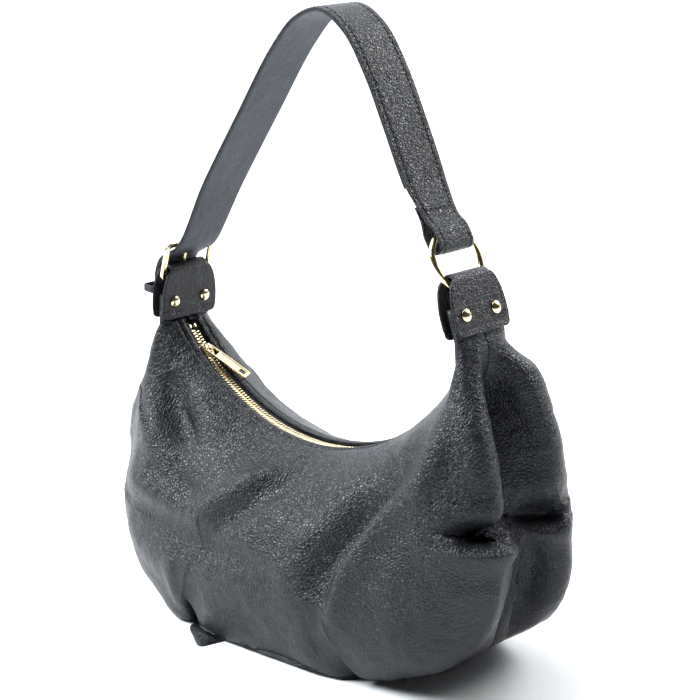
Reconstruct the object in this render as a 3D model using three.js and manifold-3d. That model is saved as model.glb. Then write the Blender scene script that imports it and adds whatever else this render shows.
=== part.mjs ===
// A slouchy leather hobo bag: two soft panels on a soft-cornered base, a curved metal
// zip across the top, riveted leather tabs on both peaks, a buckle on the left tab,
// a round ring in the right tab, and one shoulder strap between them.
//
// Millimetres, +Z up. X runs along the bag, the front panel faces -Y, and the origin
// is on the underside of the base, below the middle of the zip.

import * as THREE from 'three';
import { mergeVertices } from 'three/addons/utils/BufferGeometryUtils.js';
import Module from 'manifold-3d';

const wasm = await Module();
wasm.setup();

const deg = THREE.MathUtils.degToRad;

// ---- driving dimensions -------------------------------------------------------

const GAP = 0.4;                    // clearance between pieces that touch
const LEATHER = 2.2;                // bag and tab leather
const STRAP_LEATHER = 1.8;          // outer layer of the strap
const STRAP_LINING = 1.4;           // inner layer of the strap

// The zip is an arc in the XZ plane, so its slider turns about the arc's centre.
const ZIP_RADIUS = 178;
const ZIP_CENTRE = { x: -3, z: 318 };
const ZIP_END = 54;                 // degrees each side of straight down
const SLIDER_AT = -45.5;            // the slider's place on the arc, in degrees
const TAPE_HALF = 10.8;
const TAPE_THICKNESS = 0.8;
const TEETH_THICKNESS = 2.4;
const TEETH_INNER = 0.8;
const TEETH_OUTER = 4.0;
const MOUTH_HALF = 6.5;             // from the zip's middle to the leather's edge

// Each tab is folded over its ring or buckle and riveted through a bag peak.
const TAB_CHANNEL = 4.8;            // half the space between the two plates
const TAB_FOLD = 36;                // height of the fold's centre above the lower edge
const TAB_HALF_WIDTH = 27;
const TAB_FOLD_HALF_WIDTH = 16.5;
const TONGUE_TOP = 20;              // how far the bag's peak reaches into the tab
const TONGUE_HALF_WIDTH = 24;
const LEFT_TAB = { x: -153, z: 220, lean: 6 };
const RIGHT_TAB = { x: 149, z: 246, lean: -16 };

const RIVET_HEIGHT = 14;
const RIVET_SPACING = 30;
const RIVET_POST = 1.7;
const RIVET_CAP = 4.5;
const RIVET_DOME = 2.0;

const BODY_HALF_LENGTH = 197;
const BODY_HALF_DEPTH = 86;
const BASE_HALF_LENGTH = 92;
const BASE_HALF_DEPTH = 73;
const CREASE_DEPTH = 18;            // how far the seam at each end is drawn in

const WIRE = 2.2;                   // radius of the ring's wire, half the buckle's bar
const RING_RADIUS = 21.8;
const RING_LEAN = -26;
const RING_LOW = 29;                // the ring's lowest wire, above the tab's edge
const BUCKLE_LEAN = 19;
const BUCKLE_HEIGHT = 28;           // heel bar to top bar
const BUCKLE_HALF_WIDTH = 24.5;
const BUCKLE_THICKNESS = 3.4;
const HEEL_HEIGHT = 32;             // the heel bar, above the tab's edge
const STRAP_HALF_WIDTH = 17;

// ---- helpers ------------------------------------------------------------------

const group = new THREE.Group();
group.name = 'hobo_bag';

function material(color, roughness, metalness) {
  return new THREE.MeshStandardMaterial({ color, roughness, metalness });
}

const leather = () => material(0x23262b, 0.55, 0);
const strapLeather = () => material(0x2b2f36, 0.6, 0);
const cloth = () => material(0x3a3532, 0.9, 0);
const tape = () => material(0x101114, 0.85, 0);
const gold = () => material(0xd9b86a, 0.25, 1);

function add(name, geometry, look, parent = group) {
  const mesh = new THREE.Mesh(geometry, look);
  mesh.name = name;
  parent.add(mesh);
  return mesh;
}

function closed(geometry) {
  const bare = geometry.clone();
  bare.deleteAttribute('normal');
  bare.deleteAttribute('uv');
  return mergeVertices(bare, 1e-4);
}

function toSolid(geometry) {
  const merged = closed(geometry);
  const index = merged.index ? merged.index.array : merged.attributes.position.array.map((_, i) => i);
  return new wasm.Manifold(new wasm.Mesh({
    numProp: 3,
    vertProperties: new Float32Array(merged.attributes.position.array),
    triVerts: new Uint32Array(index),
  }));
}

function toGeometry(solid) {
  const mesh = solid.getMesh();
  const geometry = new THREE.BufferGeometry();
  geometry.setAttribute('position', new THREE.BufferAttribute(mesh.vertProperties, 3));
  geometry.setIndex(new THREE.BufferAttribute(mesh.triVerts, 1));
  return geometry;
}

function join(first, ...others) {
  return toGeometry(others.reduce((sum, other) => sum.add(toSolid(other)), toSolid(first)));
}

function cut(first, ...tools) {
  return toGeometry(tools.reduce((rest, tool) => rest.subtract(toSolid(tool)), toSolid(first)));
}

function common(first, second) {
  return toGeometry(toSolid(first).intersect(toSolid(second)));
}

// A box from its lowest and highest corners.
function block(low, high) {
  const size = high.map((value, i) => value - low[i]);
  const middle = high.map((value, i) => (value + low[i]) / 2);
  return new THREE.BoxGeometry(...size).translate(...middle);
}

// An outline drawn in X and Z, given a width across Y.
function acrossY(shape, halfWidth, curveSegments = 5) {
  const depth = 2 * halfWidth;
  const geometry = new THREE.ExtrudeGeometry(shape, { depth, bevelEnabled: false, curveSegments });
  return geometry.translate(0, 0, -halfWidth).rotateX(Math.PI / 2);
}

// An outline drawn in Y and Z, given a width across X.
function acrossX(shape, halfWidth, curveSegments = 4) {
  const depth = 2 * halfWidth;
  const geometry = new THREE.ExtrudeGeometry(shape, { depth, bevelEnabled: false, curveSegments });
  return geometry.translate(0, 0, -halfWidth).rotateX(Math.PI / 2).rotateZ(Math.PI / 2);
}

// A strip of even thickness along a line of [x, z] points.
function strip(line, thickness, halfWidth) {
  const sides = [1, -1].map((side) => offsetLine(line, (side * thickness) / 2));
  const outline = [...sides[0], ...sides[1].reverse()].map(([x, z]) => new THREE.Vector2(x, z));
  return acrossY(new THREE.Shape(outline), halfWidth);
}

// A line moved sideways, to its left as it runs.
function offsetLine(line, distance) {
  return line.map(([x, z], i) => {
    const before = line[Math.max(i - 1, 0)];
    const after = line[Math.min(i + 1, line.length - 1)];
    const length = Math.hypot(after[0] - before[0], after[1] - before[1]);
    const normal = [-(after[1] - before[1]) / length, (after[0] - before[0]) / length];
    return [x + normal[0] * distance, z + normal[1] * distance];
  });
}

// A smooth line through a few [x, z] points.
function smoothLine(points, steps) {
  const curve = new THREE.CatmullRomCurve3(points.map(([x, z]) => new THREE.Vector3(x, 0, z)), false, 'centripetal');
  return curve.getSpacedPoints(steps).map((p) => [p.x, p.z]);
}

// A closed wall between two grids of points, rows by columns.
function wall(outer, inner) {
  const rows = outer.length;
  const columns = outer[0].length;
  const points = [...outer.flat(), ...inner.flat()];
  const at = (side, row, column) => side * rows * columns + row * columns + column;
  const index = [];
  const quad = (a, b, c, d) => index.push(a, b, c, a, c, d);
  for (let r = 0; r < rows - 1; r += 1) {
    for (let c = 0; c < columns - 1; c += 1) {
      quad(at(0, r, c), at(0, r + 1, c), at(0, r + 1, c + 1), at(0, r, c + 1));
      quad(at(1, r, c), at(1, r, c + 1), at(1, r + 1, c + 1), at(1, r + 1, c));
    }
  }
  for (let r = 0; r < rows - 1; r += 1) {
    quad(at(0, r, 0), at(1, r, 0), at(1, r + 1, 0), at(0, r + 1, 0));
    quad(at(0, r, columns - 1), at(0, r + 1, columns - 1), at(1, r + 1, columns - 1), at(1, r, columns - 1));
  }
  for (let c = 0; c < columns - 1; c += 1) {
    quad(at(0, 0, c), at(0, 0, c + 1), at(1, 0, c + 1), at(1, 0, c));
    quad(at(0, rows - 1, c), at(1, rows - 1, c), at(1, rows - 1, c + 1), at(0, rows - 1, c + 1));
  }
  if (volume(points, index) < 0) index.reverse();
  const geometry = new THREE.BufferGeometry();
  geometry.setAttribute('position', new THREE.Float32BufferAttribute(points.flat(), 3));
  geometry.setIndex(index);
  return geometry;
}

function volume(points, index) {
  const v = points.map((p) => new THREE.Vector3(...p));
  let sum = 0;
  for (let i = 0; i < index.length; i += 3) {
    sum += v[index[i]].dot(new THREE.Vector3().crossVectors(v[index[i + 1]], v[index[i + 2]]));
  }
  return sum;
}

function smoothstep(value, low, high) {
  return THREE.MathUtils.smoothstep(value, low, high);
}

// ---- places -------------------------------------------------------------------

function zipPoint(angle, radius = ZIP_RADIUS) {
  return [
    ZIP_CENTRE.x + radius * Math.sin(deg(angle)),
    ZIP_CENTRE.z - radius * Math.cos(deg(angle)),
  ];
}

// A point of a tab's own frame, x away from its middle plane and z up along it.
function tabPoint(tab, x, z) {
  const lean = deg(tab.lean);
  return [
    tab.x + x * Math.cos(lean) + z * Math.sin(lean),
    tab.z - x * Math.sin(lean) + z * Math.cos(lean),
  ];
}

function frameAt(point, lean, parent = group) {
  const frame = new THREE.Group();
  frame.position.set(point[0], 0, point[1]);
  frame.rotation.y = deg(lean);
  parent.add(frame);
  return frame;
}

// The base's outline: a rectangle with soft corners.
function baseHalfDepth(x) {
  const along = Math.min(Math.abs(x) / BASE_HALF_LENGTH, 1);
  return BASE_HALF_DEPTH * (1 - along ** 8) ** 0.4;
}

// ---- the soft body ------------------------------------------------------------

const BASE_LIFT = LEATHER + 0.6;    // the panels' lowest level, just above the base

const SILHOUETTE = smoothLine([
  tabPoint(LEFT_TAB, -TAB_CHANNEL - 1, -6),
  [-176, 178],
  [-191, 140],
  [-BODY_HALF_LENGTH, 98],
  [-189, 60],
  [-160, 27],
  [-BASE_HALF_LENGTH, BASE_LIFT],
  [-46, BASE_LIFT],
  [0, BASE_LIFT],
  [46, BASE_LIFT],
  [BASE_HALF_LENGTH, BASE_LIFT],
  [162, 29],
  [188, 64],
  [BODY_HALF_LENGTH - 3, 106],
  [186, 156],
  [170, 204],
  tabPoint(RIGHT_TAB, TAB_CHANNEL + 1, -6),
], 28).map(([x, z]) => [x, Math.max(z, BASE_LIFT)]);

const SLICE_STEPS = 11;
const RISE = 3;                     // the leather's edge stands this far above the zip
const STATIONS = makeStations();

// Each station is a slice from the mouth, a, to the outline, b, across the whole bag.
function makeStations() {
  const tongue = (tab, side) => [TONGUE_TOP, TONGUE_TOP / 2, 0].map((z) => ({
    a: tabPoint(tab, side * (TAB_CHANNEL - GAP), z),
    b: tabPoint(tab, -side * (TAB_CHANNEL - GAP), z),
    width: TONGUE_HALF_WIDTH,
    base: 0,
    crease: 0,
    low: 0,
    mouth: 1,
  }));
  const last = SILHOUETTE.length - 1;
  const body = SILHOUETTE.map(([x, z], i) => {
    const along = i / last;
    const fullness = Math.sin(Math.PI * along) ** 0.9;
    const onBase = Math.abs(x) < BASE_HALF_LENGTH && z < BASE_LIFT + 1;
    const ends = smoothstep(along, 0, 0.1) * (1 - smoothstep(along, 0.24, 0.32))
      + smoothstep(1 - along, 0, 0.1) * (1 - smoothstep(1 - along, 0.24, 0.32));
    return {
      a: zipPoint(THREE.MathUtils.lerp(-ZIP_END - 1, ZIP_END + 1, along), ZIP_RADIUS - RISE),
      b: [x, z],
      width: TONGUE_HALF_WIDTH + (BODY_HALF_DEPTH - TONGUE_HALF_WIDTH) * fullness,
      base: onBase ? baseHalfDepth(x) : 0,
      crease: CREASE_DEPTH * ends,
      low: 1 - smoothstep(z, 20, 60),
      mouth: MOUTH_HALF,
    };
  });
  return [...tongue(LEFT_TAB, 1), ...body, ...tongue(RIGHT_TAB, -1).reverse()];
}

// One slice as a smooth line of [t, y], t down from the mouth and y away from the middle.
// How far below the mouth the lining starts, how far from the middle, and how wide an edge's first step is.
const LINING_START = 12;
const LINING_NEAR = 10;
const EDGE_STEP = 9;

function slice(station, inset) {
  const { a, b, width, base, crease, low, mouth } = station;
  const length = Math.hypot(b[0] - a[0], b[1] - a[1]);
  const flat = length < 4 * TAB_CHANNEL;
  const w = width - inset;
  const foot = Math.max(base - 1.5 * inset, 0);
  const open = foot > 0 ? 1 : 0;
  const start = inset > 0 ? LINING_START : 0;
  const near = inset > 0 ? LINING_NEAR : mouth;
  const end = length - inset;
  const line = flat
    ? [[0, mouth], [0, w * 0.6], [length * 0.5, w], [length, w * 0.6], [length, 0.5]]
    : [
      [start, near],
      [start + 1, near + EDGE_STEP],
      [length * 0.22 + start * 0.5, w * 0.76],
      [length * 0.55, w],
      [length * 0.84, THREE.MathUtils.lerp(w * (0.9 + 0.06 * low), Math.max(foot + 8, w * 0.93), open)],
      [end, THREE.MathUtils.lerp(w * (0.45 + 0.3 * low), foot + 2, open)],
      [end - crease, Math.max(foot, inset > 0 ? 0 : 0.5)],
    ];
  const curve = new THREE.CatmullRomCurve3(line.map(([t, y]) => new THREE.Vector3(t, y, 0)), false, 'centripetal');
  return curve.getPoints(SLICE_STEPS).map((p) => [Math.min(p.x, end), Math.max(p.y, 0)]);
}

// Slice points in space; side is -1 for the front and 1 for the back.
function place(station, line, side) {
  const { a, b } = station;
  const length = Math.hypot(b[0] - a[0], b[1] - a[1]);
  const direction = [(b[0] - a[0]) / length, (b[1] - a[1]) / length];
  return line.map(([t, y]) => [a[0] + direction[0] * t, side * y, a[1] + direction[1] * t]);
}

function panel(side) {
  const lines = STATIONS.map((station) => slice(station, 0));
  const outer = STATIONS.map((station, i) => place(station, lines[i], side));
  const inner = STATIONS.map((station, i) => {
    const inside = offsetLine(lines[i], -LEATHER).map(([t, y]) => [t, Math.max(y, 0.5)]);
    return place(station, inside, side);
  });
  return wall(outer, inner);
}

// The lining runs down the front, over the base and up the back, open at the zip.
function lining() {
  const inside = STATIONS.slice(6, -6);
  const layer = (inset) => inside.map((station) => {
    const line = slice(station, inset);
    return [...place(station, line, -1), ...place(station, line.slice(0, -1), 1).reverse()];
  });
  return wall(layer(9), layer(10.4));
}

// A flat patch pocket on the back of the lining.
function slipPocket() {
  const middle = STATIONS.filter(({ b }) => Math.abs(b[0]) < 66 && b[1] < BASE_LIFT + 1);
  const layer = (inset) => middle.map((station) => place(station, slice(station, inset).slice(3, 9), 1));
  return wall(layer(12.5), layer(13.7));
}

function basePanel() {
  const steps = 24;
  const edge = [];
  for (let i = 0; i <= steps; i += 1) {
    const x = -BASE_HALF_LENGTH * Math.cos((Math.PI * i) / steps);
    edge.push(new THREE.Vector2(x, baseHalfDepth(x) + 1.5));
  }
  const outline = [...edge, ...edge.map((p) => new THREE.Vector2(p.x, -p.y)).reverse()];
  return new THREE.ExtrudeGeometry(new THREE.Shape(outline), { depth: LEATHER, bevelEnabled: false });
}

// ---- the zip ------------------------------------------------------------------

// A band along the zip's arc, between two heights above it and two places across it.
function arcBand(fromAngle, toAngle, low, high, nearY, farY, steps) {
  const line = [];
  for (let i = 0; i <= steps; i += 1) {
    const angle = THREE.MathUtils.lerp(fromAngle, toAngle, i / steps);
    line.push(zipPoint(angle, ZIP_RADIUS - (low + high) / 2));
  }
  const band = strip(line, high - low, Math.abs(farY - nearY) / 2);
  return band.translate(0, (nearY + farY) / 2, 0);
}

const ZIP_STEPS = 22;

function zip() {
  const half = TEETH_THICKNESS / 2;
  const stop = 1.2;
  for (const [word, side] of [['front', -1], ['back', 1]]) {
    const across = (near, far) => [side * near, side * far];
    const web = arcBand(-ZIP_END, ZIP_END, -TAPE_THICKNESS / 2, TAPE_THICKNESS / 2,
      ...across(TEETH_OUTER + GAP, TAPE_HALF), ZIP_STEPS);
    const row = arcBand(-ZIP_END + 2, ZIP_END - 2, -half, half, ...across(TEETH_INNER, TEETH_OUTER), ZIP_STEPS);
    const end = arcBand(-ZIP_END + 0.4, -ZIP_END + 2 - 0.2, -half - 0.3, half + 0.3,
      ...across(TEETH_INNER, TEETH_OUTER), 1);
    add(`zip_tape_${word}`, web, tape());
    add(`zip_teeth_${word}`, row, gold());
    add(`zip_top_stop_${word}`, end, gold());
  }
  const bottom = arcBand(ZIP_END - 2 + 0.2, ZIP_END - 2 + stop, -half - 0.3, half + 0.3,
    -TEETH_OUTER, TEETH_OUTER, 1);
  add('zip_bottom_stop', bottom, gold());
}

// The slider's own frame has x along the zip and z out of the bag.
const SLIDER_LENGTH = 12;
const SLIDER_HALF_WIDTH = 5.6;
const PULL_PIN = { height: 4.4, radius: 0.7 };
const PULL_REST = 9;                // degrees above the zip
const PULL_YAW = 20;                // degrees towards the back

function sliderBody() {
  const half = SLIDER_LENGTH / 2;
  const near = TEETH_THICKNESS / 2 + GAP;
  const far = near + 1.4;
  const plate = (low, high) => block([-half, -SLIDER_HALF_WIDTH, low], [half, SLIDER_HALF_WIDTH, high]);
  const lip = (side, low, high) => block(
    [-half, side > 0 ? TEETH_OUTER + GAP : -SLIDER_HALF_WIDTH, low],
    [half, side > 0 ? SLIDER_HALF_WIDTH : -TEETH_OUTER - GAP, high],
  );
  const edge = TAPE_THICKNESS / 2 + GAP;
  const neck = block([-half, -0.4, -near - 0.1], [-half + 3.5, 0.4, near + 0.1]);
  const crown = cut(
    block([-4.2, -1.3, far - 0.2], [4.2, 1.3, far + 3.6]),
    block([-3, -2, far - 1], [3, 2, far + 2.5]),
  );
  return join(
    plate(near, far), plate(-far, -near), neck, crown,
    lip(1, edge, near + 0.1), lip(-1, edge, near + 0.1),
    lip(1, -near - 0.1, -edge), lip(-1, -near - 0.1, -edge),
  );
}

// The pull's own frame has its pin along y at the origin and its bar along x.
function pullTab() {
  const halfWidth = 4.3;
  const halfThickness = 0.9;
  const length = 38;
  const bar = new THREE.Shape();
  bar.moveTo(0, -halfWidth);
  bar.lineTo(length - 1, -halfWidth);
  bar.lineTo(length, -halfWidth + 1);
  bar.lineTo(length, halfWidth - 1);
  bar.lineTo(length - 1, halfWidth);
  bar.lineTo(0, halfWidth);
  const plate = new THREE.ExtrudeGeometry(bar, { depth: 2 * halfThickness, bevelEnabled: false });
  plate.translate(0, 0, -halfThickness);
  const pin = new THREE.CylinderGeometry(PULL_PIN.radius, PULL_PIN.radius, 2 * halfWidth - 0.4, 12);
  const yoke = block([-2, -3.1, -2], [9, 3.1, 2]);
  const slot = block([length - 8, -1.9, -2], [length - 3, 1.9, 2]);
  return join(cut(plate, yoke, slot), pin);
}

function slider() {
  const frame = frameAt(zipPoint(SLIDER_AT), -SLIDER_AT);
  add('zip_slider', sliderBody(), gold(), frame);
  const turned = new THREE.Group();
  turned.position.z = PULL_PIN.height;
  turned.rotation.order = 'ZYX';
  turned.rotation.z = deg(PULL_YAW);
  turned.rotation.y = -deg(PULL_REST);
  frame.add(turned);
  add('zip_pull', pullTab(), gold(), turned);
}

// ---- tabs, rivets and their hardware --------------------------------------------

// The folded strip seen from the side: two plates and a round fold over the top.
function tabProfile() {
  const outer = TAB_CHANNEL + LEATHER;
  const shape = new THREE.Shape();
  shape.moveTo(outer, 0);
  shape.lineTo(outer, TAB_FOLD);
  shape.absarc(0, TAB_FOLD, outer, 0, Math.PI, false);
  shape.lineTo(-outer, 0);
  shape.lineTo(-TAB_CHANNEL, 0);
  shape.lineTo(-TAB_CHANNEL, TAB_FOLD);
  shape.absarc(0, TAB_FOLD, TAB_CHANNEL, Math.PI, 0, true);
  shape.lineTo(TAB_CHANNEL, 0);
  return shape;
}

// The same strip seen from the front: wide plates with a narrower fold.
function tabOutline() {
  const w = TAB_HALF_WIDTH;
  const f = TAB_FOLD_HALF_WIDTH;
  const round = 6;
  const top = TAB_FOLD + TAB_CHANNEL + LEATHER + 1;
  const shape = new THREE.Shape();
  shape.moveTo(-w + round, -1);
  shape.lineTo(w - round, -1);
  shape.quadraticCurveTo(w, -1, w, round);
  shape.lineTo(w - 1, 20);
  shape.quadraticCurveTo(w - 2, 28, f, TAB_FOLD - 3);
  shape.lineTo(f, top);
  shape.lineTo(-f, top);
  shape.lineTo(-f, TAB_FOLD - 3);
  shape.quadraticCurveTo(-w + 2, 28, -w + 1, 20);
  shape.lineTo(-w, round);
  shape.quadraticCurveTo(-w, -1, -w + round, -1);
  return shape;
}

// Drills for the two rivets, across the tab's own frame.
function rivetHoles() {
  return [-1, 1].map((side) => new THREE.CylinderGeometry(RIVET_POST + GAP, RIVET_POST + GAP, 24, 8)
    .rotateZ(Math.PI / 2)
    .translate(0, (side * RIVET_SPACING) / 2, RIVET_HEIGHT));
}

function tabStrip(withProngSlot) {
  const outer = TAB_CHANNEL + LEATHER;
  const folded = common(acrossY(tabProfile(), TAB_HALF_WIDTH + 1), acrossX(tabOutline(), outer + 1));
  const slot = block([-outer - 1, -3.5, 26], [outer + 1, 3.5, TAB_FOLD + outer + 2]);
  return cut(folded, ...rivetHoles(), ...(withProngSlot ? [slot] : []));
}

// A post with a domed cap on each end, turned about its length.
function rivet() {
  const face = TAB_CHANNEL + LEATHER + 0.3;
  const profile = [[0, -face - RIVET_DOME]];
  for (const step of [35, 65, 90]) {
    profile.push([RIVET_CAP * Math.sin(deg(step)), -face - RIVET_DOME * Math.cos(deg(step))]);
  }
  profile.push([RIVET_POST, -face]);
  const mirrored = profile.map(([radius, height]) => [radius, -height]).reverse();
  const line = [...profile, ...mirrored].map(([radius, height]) => new THREE.Vector2(radius, height));
  return new THREE.LatheGeometry(line, 14).rotateZ(Math.PI / 2);
}

function tabs() {
  for (const [word, tab] of [['left', LEFT_TAB], ['right', RIGHT_TAB]]) {
    const frame = frameAt([tab.x, tab.z], tab.lean);
    add(`${word}_tab`, tabStrip(word === 'left'), strapLeather(), frame);
    for (const [face, side] of [['front', -1], ['back', 1]]) {
      const pin = rivet().translate(0, (side * RIVET_SPACING) / 2, RIVET_HEIGHT);
      add(`${word}_rivet_${face}`, pin, gold(), frame);
    }
  }
}

// A panel's peaks are drilled for the rivets where they lie in the tabs.
function drilled(geometry) {
  const drills = [LEFT_TAB, RIGHT_TAB].flatMap((tab) => rivetHoles().map((hole) => {
    hole.rotateY(deg(tab.lean));
    return hole.translate(tab.x, 0, tab.z);
  }));
  return cut(geometry, ...drills);
}

const RING_FOOT = tabPoint(RIGHT_TAB, 0, RING_LOW);
const RING_CENTRE = [
  RING_FOOT[0] + RING_RADIUS * Math.sin(deg(RING_LEAN)),
  RING_FOOT[1] + RING_RADIUS * Math.cos(deg(RING_LEAN)),
];
const RING_TOP = [
  RING_CENTRE[0] + RING_RADIUS * Math.sin(deg(RING_LEAN)),
  RING_CENTRE[1] + RING_RADIUS * Math.cos(deg(RING_LEAN)),
];
const HEEL = tabPoint(LEFT_TAB, 0, HEEL_HEIGHT);

function ring() {
  const frame = frameAt(RING_CENTRE, RING_LEAN);
  const hoop = new THREE.TorusGeometry(RING_RADIUS, WIRE, 9, 36).rotateY(Math.PI / 2);
  add('o_ring', hoop, gold(), frame);
}

function roundedRect(halfWidth, low, high, round) {
  const shape = new THREE.Shape();
  shape.moveTo(-halfWidth + round, low);
  shape.lineTo(halfWidth - round, low);
  shape.quadraticCurveTo(halfWidth, low, halfWidth, low + round);
  shape.lineTo(halfWidth, high - round);
  shape.quadraticCurveTo(halfWidth, high, halfWidth - round, high);
  shape.lineTo(-halfWidth + round, high);
  shape.quadraticCurveTo(-halfWidth, high, -halfWidth, high - round);
  shape.lineTo(-halfWidth, low + round);
  shape.quadraticCurveTo(-halfWidth, low, -halfWidth + round, low);
  return shape;
}

// The frame's own z runs from the heel bar at 0 up to the top bar.
function buckle() {
  const frame = frameAt(HEEL, BUCKLE_LEAN);
  const bar = 2 * WIRE;
  const shape = roundedRect(BUCKLE_HALF_WIDTH, -WIRE, BUCKLE_HEIGHT + WIRE, 5);
  shape.holes.push(roundedRect(BUCKLE_HALF_WIDTH - bar, WIRE, BUCKLE_HEIGHT - WIRE, 2));
  add('buckle_frame', acrossX(shape, BUCKLE_THICKNESS / 2), gold(), frame);

  const eyeInner = 3.1;
  const eyeOuter = 4.5;
  const halfWidth = 1.6;
  const eye = new THREE.Shape().absarc(0, 0, eyeOuter, 0, 2 * Math.PI, false);
  eye.holes.push(new THREE.Path().absarc(0, 0, eyeInner, 0, 2 * Math.PI, true));
  const face = BUCKLE_THICKNESS / 2 + GAP;
  const pin = new THREE.Shape();
  pin.moveTo(-face, eyeInner + 0.2);
  pin.lineTo(-face, BUCKLE_HEIGHT + 3);
  pin.lineTo(-face - 1.2, BUCKLE_HEIGHT + 3);
  pin.lineTo(-face - 1.9, BUCKLE_HEIGHT - 4);
  pin.lineTo(-face - 1.9, 2.6);
  add('buckle_prong', join(acrossY(eye, halfWidth, 10), acrossY(pin, halfWidth)), gold(), frame);
}

// ---- the strap ------------------------------------------------------------------

const STRAP_END_LEAN = -30;         // the strap's direction where it meets the ring
const LOOP_HALF_GAP = 4.2;          // room for the ring's wire in the turned end
const LOOP_REACH = 9.4;             // the turned end's centre, below the ring's top wire
const STRAP_OUTSIDE = -11.6;        // the free end, outside the left tab and its rivets

function strapPoint(along, aside) {
  const lean = deg(STRAP_END_LEAN);
  return [
    RING_TOP[0] + along * Math.sin(lean) + aside * Math.cos(lean),
    RING_TOP[1] + along * Math.cos(lean) - aside * Math.sin(lean),
  ];
}

const STRAP_ROUTE = [
  tabPoint(LEFT_TAB, STRAP_OUTSIDE, 3),
  tabPoint(LEFT_TAB, STRAP_OUTSIDE, 20),
  tabPoint(LEFT_TAB, STRAP_OUTSIDE + 0.3, 34),
  tabPoint(LEFT_TAB, -6.5, 45),
  tabPoint(LEFT_TAB, 2, 51),
  tabPoint(LEFT_TAB, 13.4, 58.4),
  [-98, 327],
  [-56, 381],
  [-16, 431],
  [8, 452],
  [32, 458],
  [54, 445],
  [72, 418],
  [88, 383],
];

// The outer layer wraps the ring and comes back along the inside of the strap.
function strapOuterLine(middle) {
  const above = (STRAP_LEATHER + 0.3) / 2;
  const side = LOOP_HALF_GAP + STRAP_LEATHER / 2;
  const turn = [];
  for (const angle of [0, 30, 60, 90, 120, 150, 180]) {
    turn.push(strapPoint(-LOOP_REACH - side * Math.sin(deg(angle)), side * Math.cos(deg(angle))));
  }
  return [
    ...offsetLine(middle, above),
    strapPoint(13, above),
    strapPoint(9, above + 0.6),
    strapPoint(2.5, side),
    ...turn,
    strapPoint(2.5, -side),
    strapPoint(9, -above - 0.6),
    strapPoint(13, -above),
    strapPoint(22, -above),
    strapPoint(30, -above),
  ];
}

function strap() {
  const middle = smoothLine([...STRAP_ROUTE, strapPoint(34, 0)], 54);
  const hole = block([-6.8, -2.2, 8], [-0.6, 2.2, 25]).rotateY(deg(BUCKLE_LEAN)).translate(HEEL[0], 0, HEEL[1]);
  const below = -(STRAP_LINING + 0.3) / 2;
  add('strap_outer', cut(strip(strapOuterLine(middle), STRAP_LEATHER, STRAP_HALF_WIDTH), hole), strapLeather());
  add('strap_inner', cut(strip(offsetLine(middle, below), STRAP_LINING, STRAP_HALF_WIDTH), hole), strapLeather());
}

// A leather loop round the left tab's outer plate and the strap's free end.
function keeper() {
  const frame = frameAt([LEFT_TAB.x, LEFT_TAB.z], LEFT_TAB.lean);
  const thick = 1.2;
  const inner = { low: STRAP_OUTSIDE - 3.1, high: -TAB_CHANNEL + 0.4, half: TAB_HALF_WIDTH + 0.6 };
  const low = TONGUE_TOP + 0.6;
  const high = low + 5.5;
  const band = cut(
    block([inner.low - thick, -inner.half - thick, low], [inner.high + thick, inner.half + thick, high]),
    block([inner.low, -inner.half, low - 1], [inner.high, inner.half, high + 1]),
  );
  add('strap_keeper', band, strapLeather(), frame);
}

// ---- assembly -------------------------------------------------------------------

add('front_panel', drilled(panel(-1)), leather());
add('back_panel', drilled(panel(1)), leather());
add('base_panel', basePanel(), leather());
add('lining', lining(), cloth());
add('slip_pocket', slipPocket(), cloth());
zip();
slider();
tabs();
ring();
buckle();
strap();
keeper();

export default group;
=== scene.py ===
# A slouchy leather hobo bag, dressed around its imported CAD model.
#
# Lengths below are millimetres unless a name says otherwise; piece() turns them into the
# frame's metres.
# X runs along the bag, the front panel faces -Y, and the base stands on the floor at Z = 0.

import math

import bmesh
import bpy
import numpy as np
from mathutils import Matrix, Vector, noise


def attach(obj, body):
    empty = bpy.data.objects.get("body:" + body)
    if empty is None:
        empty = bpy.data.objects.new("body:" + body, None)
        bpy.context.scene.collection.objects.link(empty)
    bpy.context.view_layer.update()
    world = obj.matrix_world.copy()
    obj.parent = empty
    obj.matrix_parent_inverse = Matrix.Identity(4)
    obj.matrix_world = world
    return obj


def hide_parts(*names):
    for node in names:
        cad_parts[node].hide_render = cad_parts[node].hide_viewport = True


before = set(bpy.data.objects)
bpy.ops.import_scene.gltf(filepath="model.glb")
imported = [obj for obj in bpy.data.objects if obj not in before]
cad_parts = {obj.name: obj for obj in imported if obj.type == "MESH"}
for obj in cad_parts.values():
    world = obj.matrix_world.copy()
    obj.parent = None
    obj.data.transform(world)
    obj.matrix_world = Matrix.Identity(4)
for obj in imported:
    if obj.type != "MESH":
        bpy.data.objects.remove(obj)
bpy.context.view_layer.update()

MM = 0.001

# ---- driving dimensions, the CAD's unless a comment says otherwise -------------------

ZIP_RADIUS = 178
ZIP_CENTRE = (-3, 318)
ZIP_END = 54
SLIDER_AT = -45.5
MOUTH_HALF = 6.5
RISE = 3

TAB_CHANNEL = 4.8
TAB_LEATHER = 2.2
TAB_FOLD = 36
TAB_HALF_WIDTH = 27
TAB_SHOULDER = 14  # only here: the height where the tab starts to narrow to its fold
TAB_FOLD_HALF_WIDTH = 18.2  # the CAD has 16.5
LEFT_TAB = (-153, 220, 6)
RIGHT_TAB = (149, 246, -16)
TONGUE_TOP = 20
TONGUE_HALF_WIDTH = 24
RIVET_HEIGHT = 14
RIVET_SPACING = 30
RIVET_CAP = 4.5

BODY_HALF_LENGTH = 197
BODY_HALF_DEPTH = 86
BASE_HALF_LENGTH = 92
BASE_HALF_DEPTH = 73
CREASE_DEPTH = 30  # the CAD has 18

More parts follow.
